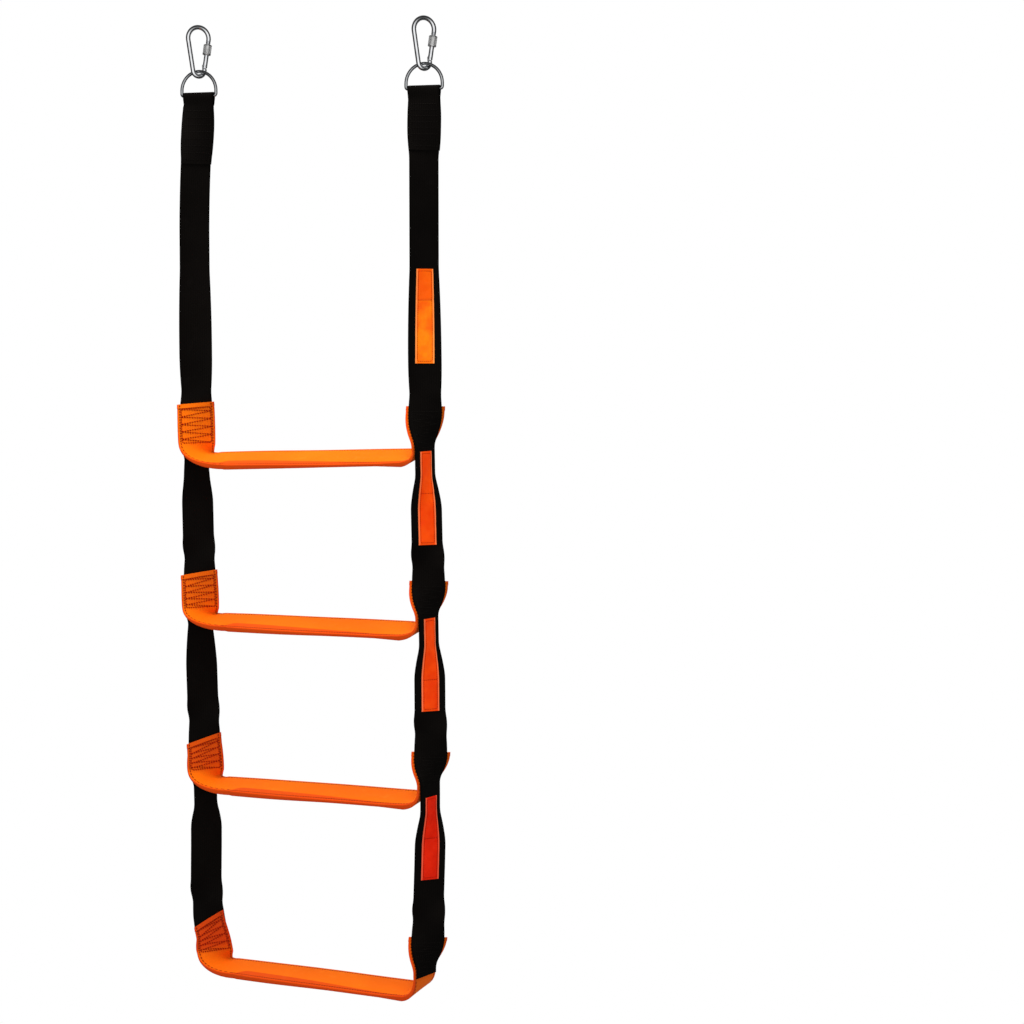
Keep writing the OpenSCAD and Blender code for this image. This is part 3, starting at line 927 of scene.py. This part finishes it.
# %% Stitches
def stitch_tree():
    tree = bpy.data.node_groups.new("stitches", "GeometryNodeTree")
    face = tree.interface
    sockets = [("Points", "Geometry"), ("Thread radius", "Float"), ("Uneven share", "Float")]
    sockets += [("Seed", "Int"), ("Thread", "Material")]
    for name, kind in sockets:
        face.new_socket(name, in_out="INPUT", socket_type=f"NodeSocket{kind}")
    face.new_socket("Geometry", in_out="OUTPUT", socket_type="NodeSocketGeometry")
    new = tree.nodes.new
    link = tree.links.new
    inputs, output = new("NodeGroupInput"), new("NodeGroupOutput")
    bead = new("GeometryNodeMeshUVSphere")
    bead.inputs["Segments"].default_value = 6
    bead.inputs["Rings"].default_value = 5
    bead.inputs["Radius"].default_value = 1.0
    way = new("GeometryNodeInputNamedAttribute")
    way.data_type = "FLOAT_VECTOR"
    way.inputs["Name"].default_value = "way"
    turn = new("FunctionNodeAlignRotationToVector")
    turn.axis = "Z"
    link(way.outputs["Attribute"], turn.inputs["Vector"])
    length = new("ShaderNodeVectorMath")
    length.operation = "LENGTH"
    link(way.outputs["Attribute"], length.inputs[0])
    random = new("FunctionNodeRandomValue")
    random.data_type = "FLOAT"
    low = new("ShaderNodeMath")
    low.operation = "SUBTRACT"
    low.inputs[0].default_value = 1.0
    link(inputs.outputs["Uneven share"], low.inputs[1])
    link(low.outputs[0], next(s for s in random.inputs if s.name == "Min" and s.type == "VALUE"))
    next(s for s in random.inputs if s.name == "Max" and s.type == "VALUE").default_value = 1.0
    link(inputs.outputs["Seed"], random.inputs["Seed"])
    stretched = new("ShaderNodeMath")
    stretched.operation = "MULTIPLY"
    link(length.outputs["Value"], stretched.inputs[0])
    link(next(s for s in random.outputs if s.type == "VALUE"), stretched.inputs[1])
    size = new("ShaderNodeCombineXYZ")
    link(inputs.outputs["Thread radius"], size.inputs["X"])
    link(inputs.outputs["Thread radius"], size.inputs["Y"])
    link(stretched.outputs[0], size.inputs["Z"])
    spread = new("GeometryNodeInstanceOnPoints")
    link(inputs.outputs["Points"], spread.inputs["Points"])
    link(bead.outputs["Mesh"], spread.inputs["Instance"])
    link(turn.outputs["Rotation"], spread.inputs["Rotation"])
    link(size.outputs["Vector"], spread.inputs["Scale"])
    real = new("GeometryNodeRealizeInstances")
    link(spread.outputs["Instances"], real.inputs["Geometry"])
    paint = new("GeometryNodeSetMaterial")
    link(real.outputs["Geometry"], paint.inputs["Geometry"])
    link(inputs.outputs["Thread"], paint.inputs["Material"])
    link(paint.outputs["Geometry"], output.inputs["Geometry"])
    return tree


STITCH_TREE = stitch_tree()


def stitches_along(points, pitch=0.0035, fill=0.8):
    """Centres and half-length directions of stitches along a line of points."""
    line = np.array([tuple(p) for p in points])
    steps = np.linalg.norm(np.diff(line, axis=0), axis=1)
    along = np.concatenate([[0], np.cumsum(steps)])
    count = max(1, int(along[-1] / pitch))
    edges = np.linspace(0, along[-1], count + 1)
    ends = np.stack([np.interp(edges, along, line[:, k]) for k in range(3)], axis=1)
    return (ends[:-1] + ends[1:]) / 2, (ends[1:] - ends[:-1]) / 2 * fill


def thread_object(name, lines, radius, material, body, slot, seed=1, pitch=0.0035):
    """Real thread along every line, as one mesh made by the stitch tree."""
    centres, ways = zip(*[stitches_along(line, pitch) for line in lines])
    centres, ways = np.concatenate(centres), np.concatenate(ways)
    points = bpy.data.meshes.new(f"{name}_points")
    points.from_pydata([tuple(c) for c in centres], [], [])
    attribute = points.attributes.new("way", "FLOAT_VECTOR", "POINT")
    attribute.data.foreach_set("vector", ways.astype(np.float32).ravel())
    source = bpy.data.objects.new(f"{name}_source", points)
    bpy.context.scene.collection.objects.link(source)
    modifier = source.modifiers.new("stitches", "NODES")
    modifier.node_group = STITCH_TREE
    chosen = {"Thread radius": radius, "Uneven share": 0.12, "Seed": seed, "Thread": material}
    for item in STITCH_TREE.interface.items_tree:
        if item.item_type == "SOCKET" and item.in_out == "INPUT" and item.name in chosen:
            modifier[item.identifier] = chosen[item.name]
    bpy.context.view_layer.update()
    evaluated = source.evaluated_get(bpy.context.evaluated_depsgraph_get())
    mesh = bpy.data.meshes.new_from_object(evaluated)
    bpy.data.objects.remove(source)
    obj = bpy.data.objects.new(name, mesh)
    bpy.context.scene.collection.objects.link(obj)
    obj.data.shade_smooth()
    return finish_piece(obj, material, body, slot)


def line_over(surface, corners, samples=24):
    """Points along a bent line on a surface, which is a function of (across, z)."""
    points = []
    for (u0, z0), (u1, z1) in zip(corners, corners[1:]):
        for t in np.linspace(0, 1, samples)[:-1]:
            points.append(surface(u0 + (u1 - u0) * t, z0 + (z1 - z0) * t))
    points.append(surface(*corners[-1]))
    return points


def strap_line(side, off, corners, samples=24):
    return line_over(lambda u, z: on_strap(side, z, u, off), corners, samples)


def tab_line(side, i, off, corners, samples=24):
    return line_over(lambda u, z: on_tab(side, i, u, z, off), corners, samples)


def boxed(half, high, low):
    return [(-half, high), (half, high), (half, low), (-half, low), (-half, high)]


def zigzag(side, off, half, high, low, teeth):
    return strap_line(side, off, [(half if k % 2 else -half, high + (low - high) * k / teeth)
                                  for k in range(teeth + 1)], samples=14)


THREAD = 0.00042
TAB_THREAD = 0.00095
THREAD_PIECES = []
for i in RUNGS:
    high = TAB_TOP[i] - HEM - 0.0015
    low = RUNG_Z[i] + BEND_RISE + 0.004
    left_face = LAYER_GAP + TAB_THICK + 0.0003
    right_face = -STRAP_THICK - LAYER_GAP - TAB_THICK - 0.0003
    for side_name, side, off in (("left", -1, left_face), ("right", 1, right_face)):
        half = 0.0225
        lines = [tab_line(side, i, off, boxed(half, high, low))]
        rows = 9
        for k in range(rows):
            z = high + (low - high) * (k + 0.5) / rows
            tilt = 0.0026 if k % 2 else -0.0026
            lines.append(tab_line(side, i, off, [(-half, z - tilt), (half, z + tilt)]))
        obj = thread_object(f"tab_stitches_{side_name}_{i}", lines, TAB_THREAD, RED_THREAD, SECTION[i],
                            "orange_webbing", seed=i)
        THREAD_PIECES.append(obj)
    strap_face = 0.0002
    lines = [strap_line(1, strap_face, boxed(0.020, high, low)),
             zigzag(1, strap_face, 0.019, high - 0.003, low + 0.003, 9)]
    THREAD_PIECES.append(thread_object(f"strap_stitches_{i}", lines, THREAD, BLACK_THREAD, SECTION[i],
                                       "black_webbing", seed=20 + i))
    back_face = -STRAP_THICK - 0.0002
    lines = [strap_line(-1, back_face, boxed(0.020, high, low)),
             zigzag(-1, back_face, 0.019, high - 0.003, low + 0.003, 9)]
    THREAD_PIECES.append(thread_object(f"back_stitches_{i}", lines, THREAD, BLACK_THREAD, SECTION[i],
                                       "black_webbing", seed=40 + i))

for side_name, side in SIDES.items():
    for i in RUNGS:
        face = 0.0 if side > 0 else -STRAP_THICK
        off = face + side * 0.00125
        half = PATCH_WIDTH / 2 - PATCH_INSET
        top, bottom = PATCH_TOP[i] - PATCH_INSET, PATCH_TOP[i] - PATCH_LENGTH[i] + PATCH_INSET
        seam = PATCH_TOP[i] - PATCH_LENGTH[i] * PATCH_SEAM[i]
        lines = [strap_line(side, off, boxed(half, top, bottom), samples=60),
                 strap_line(side, off, [(-half, seam), (half, seam)])]
        THREAD_PIECES.append(thread_object(f"patch_stitches_{side_name}_{i}", lines, 0.00045, RED_THREAD,
                                           SECTION[i - 1], "reflective_patch", seed=50 + i, pitch=0.0028))

for side_name, side in SIDES.items():
    front = STRAP_THICK + 0.0003
    high, low = LOOP_FOOT - 0.006, TAIL_END[side] + 0.006
    lines = [strap_line(side, front, boxed(0.020, high, low))]
    for z in np.linspace(high, low, 8)[1:-1]:
        lines.append(strap_line(side, front, [(-0.020, z), (0.020, z)]))
    THREAD_PIECES.append(thread_object(f"tail_stitches_{side_name}", lines, THREAD, BLACK_THREAD,
                                       "upper_straps", "black_webbing", seed=30))
print("thread pieces:", len(THREAD_PIECES))

# %% [markdown]
# ## D-rings and hooks
#
# Wire parts are tubes swept along a flat path: the D of the ring, and the pear of the hook,
# whose two arcs meet straight sides at their tangent points. Small ridges on the nose are
# the thread that the locking nut screws onto.


# %% Wire paths
HOOK_AXIS = JOINTS["gate_left_open"]["axis"]
HOOK_TURN = math.atan2(HOOK_AXIS[0], -HOOK_AXIS[1])
HOOK_WIRE = 0.0035
WIDE_RADIUS = 0.0165
WIDE_Z = -0.0130
NARROW_RADIUS = 0.0091
NARROW_Z = -0.0604
SLOPE = math.asin((WIDE_RADIUS - NARROW_RADIUS) / (WIDE_Z - NARROW_Z))
SIDE_LENGTH = math.sqrt((WIDE_Z - NARROW_Z) ** 2 - (WIDE_RADIUS - NARROW_RADIUS) ** 2)
PIVOT_RUN = 0.039
SHOULDER_RUN = 0.043
NUT_RUN = 0.0063
NUT_LENGTH = 0.016
NUT_RADIUS = 0.00625


def in_hook(side, u, w, out=0.0):
    """A point in the hook's plane, u to its right and w up, and out along its normal."""
    cos, sin = math.cos(HOOK_TURN), math.sin(HOOK_TURN)
    return Vector((side * HALF_SPACING + u * cos - out * sin, u * sin + out * cos, w))


def down_right(run):
    """A point of the hook's plane on its right side, at a run below the wide arc."""
    u = WIDE_RADIUS * math.cos(SLOPE) - run * math.sin(SLOPE)
    w = WIDE_Z - WIDE_RADIUS * math.sin(SLOPE) - run * math.cos(SLOPE)
    return u, w


def arc(centre_w, radius, start, end, count):
    return [(radius * math.cos(a), centre_w + radius * math.sin(a)) for a in np.linspace(start, end, count)]


def tube(name, points, radii, normal, closed=False, segments=20):
    """A wire along points in a plane with the given normal, with domed ends unless closed."""
    points = [Vector(p) for p in points]
    normal = Vector(normal).normalized()
    count = len(points)
    vertices, faces = [], []
    for k, p in enumerate(points):
        before = points[k - 1] if k or closed else p
        after = points[(k + 1) % count] if k < count - 1 or closed else p
        tangent = (after - before).normalized()
        other = tangent.cross(normal).normalized()
        for s in range(segments):
            a = 2 * math.pi * s / segments
            vertices.append(p + (normal * math.cos(a) + other * math.sin(a)) * radii[k])
    for k in range(count if closed else count - 1):
        a, b = k * segments, ((k + 1) % count) * segments
        for s in range(segments):
            n = (s + 1) % segments
            faces.append((a + s, a + n, b + n, b + s))
    if not closed:
        faces.append(tuple(range(segments - 1, -1, -1)))
        faces.append(tuple(range((count - 1) * segments, count * segments)))
    return shade(outward_normals(new_mesh_object(name, vertices, faces)), 50)


def rounded_ends(points, radius, blunt=0.0006):
    """Radii along a wire that shrink near both ends."""
    line = np.array([tuple(p) for p in points])
    along = np.concatenate([[0], np.cumsum(np.linalg.norm(np.diff(line, axis=0), axis=1))])
    gap = np.minimum(along, along[-1] - along)
    ease = np.clip(gap / blunt, 0, 1)
    return radius - blunt * (1 - np.sqrt(1 - (1 - ease) ** 2))


def hook_path():
    """From the nose's end, over the wide arc, down the back and up to the tongue's foot."""
    nose = [down_right(run) for run in (0.0050, 0.00495, 0.0048, 0.0046, 0.0044)]
    nose += [down_right(run) for run in np.arange(0.0042, 0.0004, -0.0002)]
    over = arc(WIDE_Z, WIDE_RADIUS, -SLOPE, math.pi + SLOPE, 48)
    left = [(-u, w) for u, w in (down_right(run) for run in np.linspace(0.003, SIDE_LENGTH - 0.003, 10))]
    under = arc(NARROW_Z, NARROW_RADIUS, math.pi + SLOPE, 2 * math.pi - SLOPE, 32)
    foot = [down_right(run) for run in (SIDE_LENGTH - 0.001, SHOULDER_RUN + 0.0012, SHOULDER_RUN + 0.0005,
                                        SHOULDER_RUN + 0.0002, SHOULDER_RUN)]
    return nose, over + left + under + foot


def plate(name, outline, thick, place):
    """A flat plate with a bevelled rim: outline is (u, w) pairs and place makes the points."""
    rings = []
    middle_u = sum(p[0] for p in outline) / len(outline)
    middle_w = sum(p[1] for p in outline) / len(outline)
    for shrink, out in ((0.93, -1.0), (1.0, -0.75), (1.0, 0.75), (0.93, 1.0)):
        rings.append([place(middle_u + (u - middle_u) * shrink, middle_w + (w - middle_w) * shrink,
                            out * thick / 2) for u, w in outline])
    count = len(outline)
    faces = []
    for r in range(3):
        for k in range(count):
            n = (k + 1) % count
            faces.append((r * count + k, r * count + n, (r + 1) * count + n, (r + 1) * count + k))
    faces.append(tuple(range(count - 1, -1, -1)))
    faces.append(tuple(range(3 * count, 4 * count)))
    return shade(outward_normals(new_mesh_object(name, sum(rings, []), faces)), 35)


def tongue_outline():
    """The ear at the gate's pivot: a round cam on a straight foot."""
    cam, offset = 0.0034, 0.0012
    inward = (-math.cos(SLOPE), math.sin(SLOPE))
    down = (-math.sin(SLOPE), -math.cos(SLOPE))
    local = [(offset + cam * math.cos(a), PIVOT_RUN - cam * math.sin(a))
             for a in np.linspace(0, math.pi, 15)]
    local += [(offset - cam, SHOULDER_RUN + 0.001), (offset + cam - 0.0012, SHOULDER_RUN + 0.001)]
    base_u, base_w = down_right(0)
    return [(base_u + inward[0] * x + down[0] * run, base_w + inward[1] * x + down[1] * run)
            for x, run in local]


HARDWARE = []
for side_name, side in SIDES.items():
    normal = in_hook(side, 0, 0, 1) - in_hook(side, 0, 0, 0)
    nose, rest = hook_path()
    path = [in_hook(side, u, w) for u, w in nose + rest]
    radii = rounded_ends(path, HOOK_WIRE)
    for k in range(5, len(nose) - 1):
        radii[k] -= 0.00022 * (k % 2)
    body = tube(f"hook_{side_name}_body", path, radii, normal)
    finish_piece(body, POLISHED, f"hook_{side_name}", "polished_steel", [f"hook_{side_name}"])
    ear = plate(f"hook_{side_name}_tongue", tongue_outline(), 0.0024,
                lambda u, w, out, side=side: in_hook(side, u, w, out))
    finish_piece(ear, POLISHED, f"hook_{side_name}", "polished_steel")
    HARDWARE += [body, ear]
print("hook bodies:", len(HARDWARE))

# %% [markdown]
# The D-ring is one closed wire. The nut is turned steel with lengthwise grip ribs between
# two plain collars, and a bore that runs on the gate.


# %% Rings and nuts
RING_WIRE = 0.0025
RING_RADIUS = 0.0285
RING_CORNER = 0.0034


def ring_path():
    arc_z = RING_TOP_Z - RING_RADIUS
    corner_z = BAR_Z + RING_CORNER
    half = RING_RADIUS - RING_CORNER
    points = arc(arc_z, RING_RADIUS, 0, math.pi, 60)
    points += [(-RING_RADIUS, arc_z + (corner_z - arc_z) * t) for t in (0.3, 0.7)]
    points += [(-half + RING_CORNER * math.cos(a), corner_z + RING_CORNER * math.sin(a))
               for a in np.linspace(math.pi, 1.5 * math.pi, 9)]
    points += [(x, BAR_Z) for x in np.linspace(-half + 0.003, half - 0.003, 12)]
    points += [(half + RING_CORNER * math.cos(a), corner_z + RING_CORNER * math.sin(a))
               for a in np.linspace(1.5 * math.pi, 2 * math.pi, 9)]
    points += [(RING_RADIUS, corner_z + (arc_z - corner_z) * t) for t in (0.3, 0.7)]
    return points


def nut_mesh(name, side, turns=120, ribs=24):
    """A ribbed sleeve round the gate, with plain chamfered collars and an open bore."""
    bore = HOOK_WIRE + 0.00005
    rows = [(0.0, bore), (0.0, NUT_RADIUS - 0.0012), (0.0004, NUT_RADIUS - 0.0004)]
    rows += [(0.0009, NUT_RADIUS - 0.00005), (0.0019, NUT_RADIUS), (0.0021, NUT_RADIUS - 0.0003)]
    rows += [(x, NUT_RADIUS - 0.0001) for x in np.linspace(0.0025, NUT_LENGTH - 0.0025, 12)]
    rows += [(NUT_LENGTH - x, r) for x, r in reversed(rows[:6])]
    lean = -math.sin(SLOPE)
    axis = Vector((lean * math.cos(HOOK_TURN), lean * math.sin(HOOK_TURN), -math.cos(SLOPE)))
    flat = Vector((-math.sin(HOOK_TURN), math.cos(HOOK_TURN), 0))
    other = axis.cross(flat)
    top = in_hook(side, *down_right(NUT_RUN))
    vertices, faces = [], []
    for k, (x, r) in enumerate(rows):
        for t in range(turns):
            a = 2 * math.pi * t / turns
            groove = 0.00045 * max(0.0, math.cos(a * ribs)) ** 2 if 6 <= k < len(rows) - 6 else 0.0
            vertices.append(top + axis * x + (flat * math.cos(a) + other * math.sin(a)) * (r - groove))
    count = len(rows)
    for k in range(count):
        a, b = k * turns, ((k + 1) % count) * turns
        for t in range(turns):
            n = (t + 1) % turns
            faces.append((a + t, a + n, b + n, b + t))
    return shade(outward_normals(new_mesh_object(name, vertices, faces)), 35)


for side_name, side in SIDES.items():
    path = [Vector((side * HALF_SPACING + x, 0, z)) for x, z in ring_path()]
    wire = tube(f"ring_{side_name}_wire", path, [RING_WIRE] * len(path), (0, 1, 0), closed=True)
    finish_piece(wire, RING_STEEL, f"ring_{side_name}", "polished_steel", [f"ring_{side_name}"])
    nut = nut_mesh(f"nut_{side_name}_sleeve", side)
    finish_piece(nut, NUT_STEEL, f"nut_{side_name}", "nut_steel", [f"nut_{side_name}"])
    HARDWARE += [wire, nut]
print("hardware pieces:", len(HARDWARE))

# %% [markdown]
# ## Light
#
# The ladder hangs in plain white. Polished wire shows whatever stands round it, so the
# surroundings it reflects are drawn like a light tent: white in front, dark at the
# sides, above and below, and grey behind. The tent is seen by reflections only; to every
# other ray the surroundings are an even soft white.


# %% Light
def soft_light(name, place, target, size, power):
    light = bpy.data.lights.new(name, "AREA")
    light.shape = "SQUARE"
    light.size = size
    light.energy = power
    obj = bpy.data.objects.new(name, light)
    obj.location = place
    obj.rotation_euler = (Vector(target) - Vector(place)).to_track_quat("-Z", "Y").to_euler()
    obj.visible_glossy = False
    bpy.context.scene.collection.objects.link(obj)
    return obj


def tent_world():
    world = bpy.data.worlds.new("studio_world")
    tent = Shader("studio_world", world, "Background")
    tent.set(Color=rgb(1.0, 1.0, 1.0))
    way = tent.node("ShaderNodeTexCoord", output="Generated")
    x, y, z = (tent.axis(way, name) for name in "XYZ")
    facing = x * 0.42 + y * -0.905 + z * -0.05
    front = facing.smooth(0.55, 0.95) * TENT_LIGHT
    behind = (-facing).smooth(0.5, 0.9) * BACK_LIGHT
    glow = front + behind + SIDE_LIGHT
    mirror = tent.node("ShaderNodeLightPath", output="Is Glossy Ray")
    seen = tent.node("ShaderNodeLightPath", output="Is Camera Ray")
    room = (1 - mirror) * (1 - seen) * WORLD_LIGHT
    tent.set(Strength=seen + mirror * glow + room)
    bpy.context.scene.world = world


WORLD_LIGHT = 0.50
TENT_LIGHT = 1.15
BACK_LIGHT = 0.4
SIDE_LIGHT = 0.04
MIDDLE = (0, 0, -0.7)
soft_light("key_light", (-1.4, -2.6, 1.9), MIDDLE, 2.2, 44)
soft_light("fill_light", (3.0, -2.4, -0.2), MIDDLE, 2.4, 14)
soft_light("top_light", (0.0, -0.6, 1.6), MIDDLE, 1.6, 62)
soft_light("back_light", (0.8, 3.0, 0.6), MIDDLE, 2.4, 26)
tent_world()
bpy.context.scene.view_settings.view_transform = "Standard"
print("lights:", sum(obj.type == "LIGHT" for obj in bpy.context.scene.objects))

# %% Finish
with open("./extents.json") as handle:
    sizes = json.load(handle)
sizes["visual"] = [list(map(float, corner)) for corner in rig.bounds()]
with open("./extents.json", "w") as handle:
    json.dump(sizes, handle)
print("sizes:", sizes)
